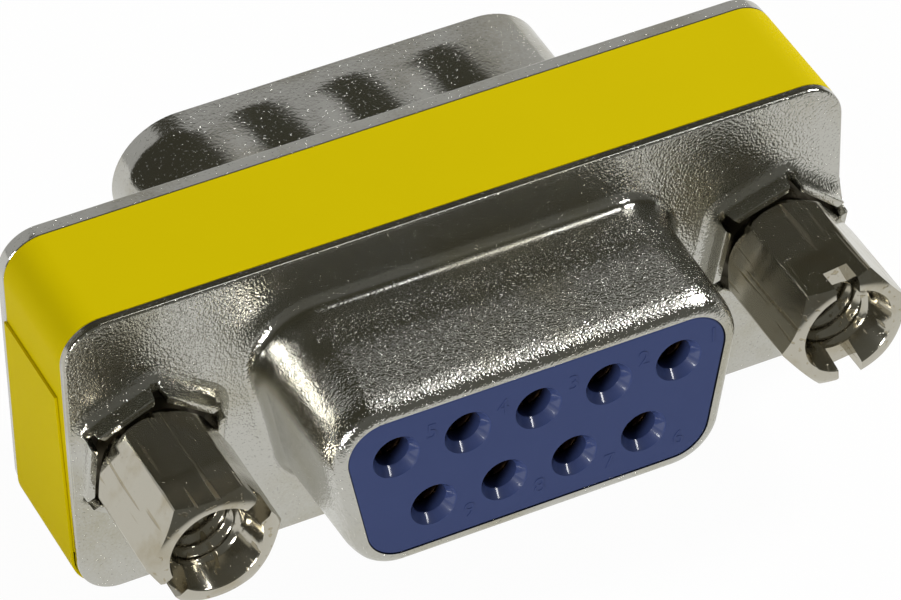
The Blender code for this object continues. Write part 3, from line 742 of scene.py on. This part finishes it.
# Depth of the dents at a place along the wall and at a depth from the flange: ramps that deepen
# towards the flange, each rising over its steep left wall and falling over its soft right edge.
def dentDepth(along, depth, dents):
    full = pinShell["length"] - pinShell["dentRim"] - pinShell["dentRoot"]
    foot = smooth((depth - pinShell["dentRoot"]) / pinShell["dentFoot"])
    inward = np.zeros_like(along)
    for left, width, most, edge in dents:
        rise = smooth((along - left) / pinShell["dentWall"])
        fall = smooth((left + width - along) / edge)
        side = np.clip(2 * (along - left) / width - 1, -1, 1)
        ramp = pinShell["length"] - pinShell["dentRim"] - pinShell["dentRound"] * side ** 2 - depth
        inward += most * np.clip(ramp / full, 0, 1) * rise * fall
    return foot * inward


def makeRearShell():
    dee = deeOutline(pinShell, pinShell["runs"])
    centres, normals = dee
    face, fillet, corner = body["back"], pinShell["fillet"], pinShell["corner"]
    rows = [(0.0, depth) for depth in np.linspace(pinShell["length"], fillet, pinShell["rows"])]
    rows += [(fillet * (1 - math.cos(t)), fillet * (1 - math.sin(t)))
             for t in np.linspace(0, np.pi / 2, 9)[1:]]
    loops = []
    for offset, depth in rows:
        loop = loopAt(dee, corner + offset, face + depth)
        for sign, dents in ((1, pinShell["upper"]), (-1, pinShell["lower"])):
            near = normals[:, 1] * sign > 0.02
            bend = corner * np.arcsin(np.clip(normals[near, 0], -1, 1))     # on round the corner
            inward = dentDepth(centres[near, 0] + bend, depth, dents)[:, None] * normals[near]
            loop[near, 0] -= inward[:, 0]
            loop[near, 2] -= inward[:, 1]
        loops.append(loop)
    pan = panLoops(flangeOutline(pinShell["runs"]), face, -1, face - label["back"])
    loops += plateLoops(loops[-1], pan[0]) + pan
    shell = pressedShell("pinShellAndFlange", loops, True)
    hole = pinShell["postHole"]
    cut(shell, [turnedSolid(side + "Hole", [(hole, face + 0.4), (hole, face - 0.8)], x, 0.0, 64)
                for side, x in (("left", -body["postX"]), ("right", body["postX"]))])
    return shell


rearShell = makeRearShell()
finishPiece(rearShell, "housing", "plated_shell", rearSheetPlating, "rear_shell")
print("rear shell made")


# Track of the label: legs from centre to centre and from angle to angle, once round the skirts
# from its start on the left end and up to its outer end, which rises over the start.
def makeLabel():
    x = flange["width"] / 2 - flange["corner"]
    top = flange["height"] / 2 - flange["corner"]
    legs = [((-x, label["under"]), (-x, top), 180, 180, 30), ((-x, top), (-x, top), 180, 90, 20),
            ((-x, top), (x, top), 90, 90, 60), ((x, top), (x, top), 90, 0, 20),
            ((x, top), (x, -top), 0, 0, 30), ((x, -top), (x, -top), 0, -90, 20),
            ((x, -top), (-x, -top), -90, -90, 60), ((-x, -top), (-x, -top), -90, -180, 20),
            ((-x, -top), (-x, label["seam"]), -180, -180, 31)]
    centres, turns, leg = [], [], []
    for index, (start, end, first, last, steps) in enumerate(legs):
        share = np.arange(steps) / (steps - 1 if index == len(legs) - 1 else steps)
        centres.append(np.outer(1 - share, start) + np.outer(share, end))
        turns.append(first + (last - first) * share)
        leg.append(index + share)
    centres, turns, leg = (np.concatenate(part) for part in (centres, turns, leg))
    turns = np.radians(turns)
    # the last corner lifts it over its start, and the last leg drifts
    lift = (label["thickness"] + label["gap"]) * smooth(leg - 7)
    drift = label["drift"] * np.clip(leg - 8, 0, 1)
    inner = flange["corner"] - label["recess"] + label["gap"]
    outer = inner + label["thickness"]
    edge = label["edge"]
    section = [(inner, 0), (outer - edge, 0), (outer - 0.3 * edge, 0.3), (outer, 1.0)]
    section += [(outer, -1.0), (outer - 0.3 * edge, -0.3), (outer - edge, 0), (inner, 0)]
    frontSide = np.arange(len(section)) < len(section) / 2
    radius = np.array([row[0] for row in section])[None, :] + lift[:, None]
    step = np.array([row[1] for row in section])[None, :] * edge
    y = np.where(frontSide, label["front"] + drift[:, None], label["back"]) + step
    points = np.stack([centres[:, :1] + radius * np.cos(turns)[:, None], y,
                       centres[:, 1:] + radius * np.sin(turns)[:, None] - flange["drop"]], 2)
    return loftSolid("wrapLabel", points, 50)


finishPiece(makeLabel(), "housing", "yellow_film", yellowFilm, "wrap_label", angle=50)
print("label made")

contacts = {
    "pitch": 2.77,
    "rowSpacing": 2.84,
    "barrel": 0.80,         # radii
    "bore": 0.53,
    "shoulder": 1.05,
    "pin": 0.50,
    "halfShoulder": 0.5,
    "start": 1.05,
    "boreEnd": 5.35,
    "tip": 16.6,
    "edge": 0.06,
    "lead": (0.08, 0.12),   # how much wider the bore's mouth is, and how long
    "slit": (0.20, 2.6),    # width and length
}


def contactPlaces():
    # number and place of each contact, 1 to 5 above from the right, then 6 to 9 below
    places = []
    high = contacts["rowSpacing"] / 2
    for row, (count, z) in enumerate(((5, high), (4, -high))):
        places += [(1 + column + 5 * row, ((count - 1) / 2 - column) * contacts["pitch"], z)
                   for column in range(count)]
    return places


def makeContacts():
    barrel, bore, pin, shoulder = (contacts[part] for part in ("barrel", "bore", "pin", "shoulder"))
    start, boreEnd, tip, edge = (contacts[part] for part in ("start", "boreEnd", "tip", "edge"))
    seam, half = body["seam"], contacts["halfShoulder"]
    wider, lead = contacts["lead"]
    nose = np.linspace(0.1, np.pi / 2, 7)
    profile = [(pin * math.sin(t), tip - pin * (1 - math.cos(t))) for t in nose]
    profile += [(pin, seam + half), (shoulder, seam + half), (shoulder, seam - half),
                (barrel, seam - half), (barrel, start + edge), (barrel - edge, start),
                (bore + wider, start), (bore, start + lead), (bore, boreEnd), (0.05, boreEnd)]
    pattern = turnedSolid("contact", profile, 0.0, 0.0, 40)
    width, length = contacts["slit"]
    cut(pattern, [blockSolid("slit", width, 4.0, 0.5, start + length, 0.0, 0.0, 0.0)])
    for number, x, z in contactPlaces():
        mesh = pattern.data.copy()
        mesh.transform(Matrix.Translation((x * mm, 0.0, z * mm)))
        contact = bpy.data.objects.new("contact" + str(number), mesh)
        bpy.context.scene.collection.objects.link(contact)
        finishPiece(contact, "housing", "contact_gold", contactGold, "contact_" + str(number))
    bpy.data.objects.remove(pattern, do_unlink=True)


insulator = {
    "face": 0.025,          # moulded numbers stand up from it to the rim's level
    "edge": 0.05,           # of its face
    "neck": (0.33, 0.78),   # depths between which it widens behind the rolled rim
    "base": 1.0835,         # how much wider than the hood it is inside the body
    "entry": 0.66,          # radii of the entries and of their countersunk mouths
    "mouth": 0.91,
    "sink": 0.38,
    "entryEnd": 1.01,
    "sleeve": 0.84,         # radii of the holes round a contact's barrel and shoulder
    "pocket": 1.09,
    "pocketDepth": 0.54,
}


def makeFrontInsulator():
    inside = -hood["taper"] - hood["inside"] - body["fit"]
    wall = -hood["taper"] - body["sheet"] - body["fit"]
    face, edge = insulator["face"], insulator["edge"]
    base = body["front"] + body["sheet"] + body["fit"]
    narrow, wide = insulator["neck"]
    rows = [(inside - edge, face), (inside - 0.3 * edge, face + 0.3 * edge), (inside, face + edge),
            (inside, narrow), (wall, wide), (wall, base), (insulator["base"], base),
            (insulator["base"], body["seam"] - body["fit"])]
    dee, corner = deeOutline(hood, hood["runs"]), hood["corner"]
    block = loftSolid("frontInsulator", [loopAt(dee, corner + offset, y) for offset, y in rows])
    entry, mouth, sink, end = (insulator[part] for part in ("entry", "mouth", "sink", "entryEnd"))
    sleeve, pocket, seam = insulator["sleeve"], insulator["pocket"], body["seam"]
    floor = seam - insulator["pocketDepth"]
    profile = [(pocket, seam + 0.3), (pocket, floor), (sleeve, floor), (sleeve, end),
               (entry, end), (entry, sink + 0.03), (entry + 0.02, sink),
               (mouth - 0.03, face + 0.04), (mouth, face), (mouth, -0.3)]
    cut(block, [turnedSolid("entry" + str(number), profile, x, z, 48)
                for number, x, z in contactPlaces()])
    return block


numbers = {
    "size": 0.95,
    "relief": 0.012,
    "beside": 1.385,        # from the entry's middle to the number's, across and up or down
    "above": 0.62,
    "below": -0.88,
}


def makeNumbers():
    # faint moulded contact numbers to the right of the entries
    for number, x, z in contactPlaces():
        text = bpy.data.curves.new("number", "FONT")
        text.body = str(number)
        text.size = numbers["size"] * mm
        text.extrude = numbers["relief"] * mm
        text.align_x, text.align_y = "CENTER", "CENTER"
        writing = bpy.data.objects.new("number", text)
        bpy.context.scene.collection.objects.link(writing)
        bpy.context.view_layer.update()
        graph = bpy.context.evaluated_depsgraph_get()
        mesh = bpy.data.meshes.new_from_object(writing.evaluated_get(graph))
        bpy.data.objects.remove(writing, do_unlink=True)
        up = numbers["above"] if z > 0 else numbers["below"]
        place = Matrix.Translation(((x + numbers["beside"]) * mm, (insulator["face"] - 0.008) * mm,
                                    (z + up) * mm))
        mesh.transform(place @ Matrix.Rotation(math.pi / 2, 4, "X"))
        digit = bpy.data.objects.new("number" + str(number), mesh)
        bpy.context.scene.collection.objects.link(digit)
        finishPiece(digit, "housing", "blue_insulator", bluePlastic)


rearBlock = {
    "width": 16.86,         # the part that stands in the pin shell
    "height": 8.30,
    "corner": 2.37,
    "stand": 0.5,
    "hole": (0.54, 0.60),   # radii of a pin's hole and of its mouth
}


def makeRearInsulator():
    corner, fit, seam = rearBlock["corner"], body["fit"], body["seam"]
    grow = insulator["base"] + (hood["width"] - rearBlock["width"]) / 2
    back, end = body["back"] - body["sheet"] - fit, body["back"] + rearBlock["stand"]
    rows = [(grow, seam + fit), (grow, back), (0.0, back), (0.0, end - 0.06), (-0.02, end - 0.02),
            (-0.06, end)]
    dee = deeOutline(rearBlock, hood["runs"])
    block = loftSolid("rearInsulator", [loopAt(dee, corner + offset, y) for offset, y in rows])
    hole, mouth = rearBlock["hole"]
    pocket, floor = insulator["pocket"], seam + insulator["pocketDepth"]
    profile = [(mouth + 0.10, end + 0.3), (mouth + 0.10, end), (mouth, end + 0.0001),
               (hole, end - 0.06), (hole, floor), (pocket, floor), (pocket, seam - 0.3)]
    cut(block, [turnedSolid("cavity" + str(number), profile, x, z, 40)
                for number, x, z in contactPlaces()])
    return block


finishPiece(makeFrontInsulator(), "housing", "blue_insulator", bluePlastic, "front_insulator",
            angle=20)
finishPiece(makeRearInsulator(), "housing", "blue_insulator", bluePlastic, "rear_insulator",
            angle=20)
makeNumbers()
makeContacts()
print("insulators and contacts made")

jackscrew = {
    "apothem": 2.25,
    "ridge": 0.13,          # radius of the ridges between the flats
    "reach": 2.62,          # turned radius, past the ridges
    "ring": 2.15,           # radius of its front face, and depth of the chamfer round it
    "chamfer": 0.36,
    "cone": (4.3, 5.7),     # where the ridges fade into the neck
    "neck": 1.9,
    "seat": 6.28,
    "shank": 1.42,
    "groove": (1.10, 12.06, 12.52),
    "end": 16.6,
    "point": ((0.40, 0.0), (0.30, 0.08), (0.0, 0.42)),      # narrower by, and short of the end by
    "core": 0.3,
    "pitch": 0.635,
    "threadDepth": 0.30,
    "mouth": 1.76,
    "boreStart": 1.05,      # end of the wide mouth
    "bore": 1.50,
    "tap": 1.46,            # outer radius of the inner thread
    "tapEnd": 4.3,
    "slot": 0.95,
    "slotDepth": 1.0,
    "sides": {"left": (-1, 2.0, 33.0), "right": (1, 8.0, 93.0)},    # place, hexagon and slot turns
}


def threadRows(radius, start, end, fade):
    # rows of a thread whose ridges fade out towards its two ends
    count = int(round(abs(end - start) / jackscrew["pitch"] * 12))
    y = np.linspace(start, end, count)
    low, high = min(start, end), max(start, end)
    depth = jackscrew["threadDepth"] * smooth((y - low) / fade) * smooth((high - y) / fade)
    return [(radius, float(a), float(b)) for a, b in zip(y, depth)]


def makeJackscrew(side):
    look = jackscrew
    sign, hexTurn, slotTurn = look["sides"][side]
    x, pitch = sign * body["postX"], look["pitch"]
    core, shank, end, neck, seat, reach = (look[part] for part in
                                           ("core", "shank", "end", "neck", "seat", "reach"))
    groove, grooveFront, grooveBack = look["groove"]
    coneStart, coneEnd = look["cone"]
    profile = [(core, end)] + [(shank - less, end - short) for less, short in look["point"]]
    profile += threadRows(shank, end - 0.46, grooveBack + 0.06, 0.35)
    profile += [(shank, grooveBack), (groove, grooveBack), (groove, grooveFront),
                (shank, grooveFront), (shank, seat), (neck, seat), (neck, coneEnd),
                (reach, coneStart), (reach, look["chamfer"]), (look["ring"], 0.0), (core, 0.0)]
    screw = turnedSolid(side + "Jackscrew", profile, x, 0.0, 96, 40, pitch)
    bar = hexagonBar("bar", x, look["apothem"], look["ridge"], hexTurn, -0.5, end + 0.5)
    cut(screw, [bar], "INTERSECT")
    cut(screw, [blockSolid("slot", 7.0, look["slot"], -0.5, look["slotDepth"], slotTurn, x, 0.0)])
    mouth, bore, start, tapEnd = look["mouth"], look["bore"], look["boreStart"], look["tapEnd"]
    tool = [(mouth + 0.25, -0.2), (mouth + 0.05, 0.0), (mouth, 0.05), (bore, start)]
    tool += threadRows(look["tap"], start + 0.05, tapEnd, 0.25)
    tool += [(1.15, tapEnd + 0.1), (0.2, tapEnd + 0.7)]     # shoulder and drill point
    cut(screw, [turnedSolid("bore", tool, x, 0.0, 96, 40, pitch)])
    finishPiece(screw, side + "_jackscrew", "nickel_post", postNickel, side + "_jackscrew",
                angle=45)


retainingRing = {
    "inner": 1.13,
    "outer": 2.2,
    "thickness": 0.40,
    "clear": 0.09,          # from the flange
    "opening": 68,          # degrees, at its lowest point
    "edge": 0.05,
}


def makeRing(side, x):
    inner, outer, thickness = (retainingRing[part] for part in ("inner", "outer", "thickness"))
    front, half = body["back"] + retainingRing["clear"], retainingRing["opening"] / 2
    turn = np.radians(np.linspace(-90 + half, 270 - half, 80))
    section = [(inner, 0), (inner, thickness), (outer, thickness), (outer, 0)]
    loops = [[(x + r * math.cos(t), front + y, r * math.sin(t)) for r, y in section] for t in turn]
    ring = loftSolid(side + "RetainingRing", loops)
    soften(ring, retainingRing["edge"])
    finishPiece(ring, side + "_jackscrew", "spring_steel", ringSteel, side + "_retaining_ring")


for side in ("left", "right"):
    makeJackscrew(side)
    makeRing(side, jackscrew["sides"][side][0] * body["postX"])
print("jackscrews made")

# The spacers inside stay as they are in the frame, in brass
for side in ("left", "right"):
    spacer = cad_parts[side + "_spacer"]
    spacer.data.materials.clear()
    spacer.data.materials.append(spacerBrass)


# The photograph's camera: its place in metres, its turn and its lens, found from the known
# distances between the contacts
camera = {
    "place": (-0.068567, -0.138467, 0.142361),
    "right": (0.89802, -0.43963, -0.01710),
    "down": (-0.30184, -0.58734, -0.75095),
    "forward": (0.32010, 0.67953, -0.66013),
    "lens": 238.16,
}


def makeCamera():
    lens = bpy.data.cameras.new("camera")
    lens.lens = camera["lens"]
    lens.sensor_width = 36.0
    lens.sensor_fit = "HORIZONTAL"
    lens.clip_start = 0.01
    lens.clip_end = 20.0
    view = bpy.data.objects.new("camera", lens)
    right, down, forward = (Vector(camera[side]) for side in ("right", "down", "forward"))
    turn = Matrix((right, -down, -forward)).transposed()
    view.matrix_world = Matrix.Translation(camera["place"]) @ turn.to_4x4()
    bpy.context.scene.collection.objects.link(view)
    bpy.context.scene.camera = view


# The lamps' sizes and places decide which flats shine. The metal mirrors a room that is dark
# above, pale low down behind, and grey in front, and the floor pale behind and grey in front.
studio = {
    "floor": tint(235, 234, 230),
    "floorReach": 3,          # metres each way
    "floorFront": (-32, -10), # where the mirrored floor turns grey in front
    "mirrored": tint(240, 240, 237),
    "whiteSeen": 0.97,        # how far the floor is plain white to the camera, and not shaded
    "backdrop": tint(194, 194, 192),
    "backdropTop": (0.651, 0.667),  # of a direction's length, its rise where the backdrop ends
    "behind": (0.60, 0.66),   # its reach along +Y where the backdrop starts
    "before": (-0.40, -0.05), # and where the grey in front ends
    "dark": tint(68, 67, 57),
    "front": tint(104, 104, 98),
    "lamps": {                # place in metres, size and power
        "overhead": ((0.147, 0.118, 0.42), (0.18, 0.045), 0.11),
        "fill": ((0.34, 0.10, 0.34), (0.12, 0.16), 1.85),
        "leftSide": ((-0.40, -0.27, 0.13), (0.12, 0.12), 1.35),
        "rightSide": ((0.30, -0.135, 0.38), (0.035, 0.12), 0.28),
    },
}
white = (1.0, 1.0, 1.0, 1.0)


def makeFloor():
    low, reach = cadBox[0][2], studio["floorReach"]
    mesh = bpy.data.meshes.new("floor")
    corners = [(-reach, -reach), (reach, -reach), (reach, reach), (-reach, reach)]
    mesh.from_pydata([(x, y, low) for x, y in corners], [], [(0, 1, 2, 3)])
    floor = bpy.data.objects.new("floor", mesh)
    bpy.context.scene.collection.objects.link(floor)
    material = bpy.data.materials.new("floor")
    nodes = Nodes(material)
    matte = nodes.node("ShaderNodeBsdfDiffuse", None, {"Color": studio["floor"]})
    seen = nodes.node("ShaderNodeLightPath", output="Is Camera Ray")
    mirrored = nodes.node("ShaderNodeLightPath", output="Is Glossy Ray")
    first, last = studio["floorFront"]
    near = nodes.band(nodes.axis(nodes.place(), 1), first * mm, last * mm)
    light = nodes.mix(seen, nodes.mix(near, studio["front"], studio["mirrored"]), white)
    glow = nodes.node("ShaderNodeEmission", None, {"Color": light, "Strength": 1.0})
    share = seen * studio["whiteSeen"] + mirrored
    nodes.finish("ShaderNodeOutputMaterial",
                 nodes.node("ShaderNodeMixShader", None, {0: share, 1: matte, 2: glow}))
    mesh.materials.append(material)


def makeWorld():
    world = bpy.data.worlds.new("studio")
    bpy.context.scene.world = world
    nodes = Nodes(world)
    direction = nodes.node("ShaderNodeTexCoord", output="Generated")
    low = nodes.band(nodes.axis(direction, 2), *studio["backdropTop"], 1.0, 0.0)
    behind = nodes.band(nodes.axis(direction, 1), *studio["behind"])
    before = nodes.band(nodes.axis(direction, 1), *studio["before"], 1.0, 0.0)
    seen = nodes.node("ShaderNodeLightPath", output="Is Camera Ray")
    room = nodes.mix(before, studio["dark"], studio["front"])
    room = nodes.mix(low * behind, room, studio["backdrop"])
    nodes.finish("ShaderNodeOutputWorld", nodes.node("ShaderNodeBackground", None, {
        "Color": nodes.mix(seen, room, white), "Strength": 1.0}))


def makeLamps():
    for name, (place, size, power) in studio["lamps"].items():
        lamp = bpy.data.lights.new(name, "AREA")
        lamp.shape = "RECTANGLE"
        lamp.size, lamp.size_y = size
        lamp.energy = power
        holder = bpy.data.objects.new(name, lamp)
        turn = Vector(place).to_track_quat("Z", "Y").to_matrix().to_4x4()      # faces the object
        holder.matrix_world = Matrix.Translation(place) @ turn
        bpy.context.scene.collection.objects.link(holder)


makeCamera()
makeFloor()
makeWorld()
makeLamps()
bpy.context.scene.view_settings.view_transform = "Standard"
print("camera and studio made")
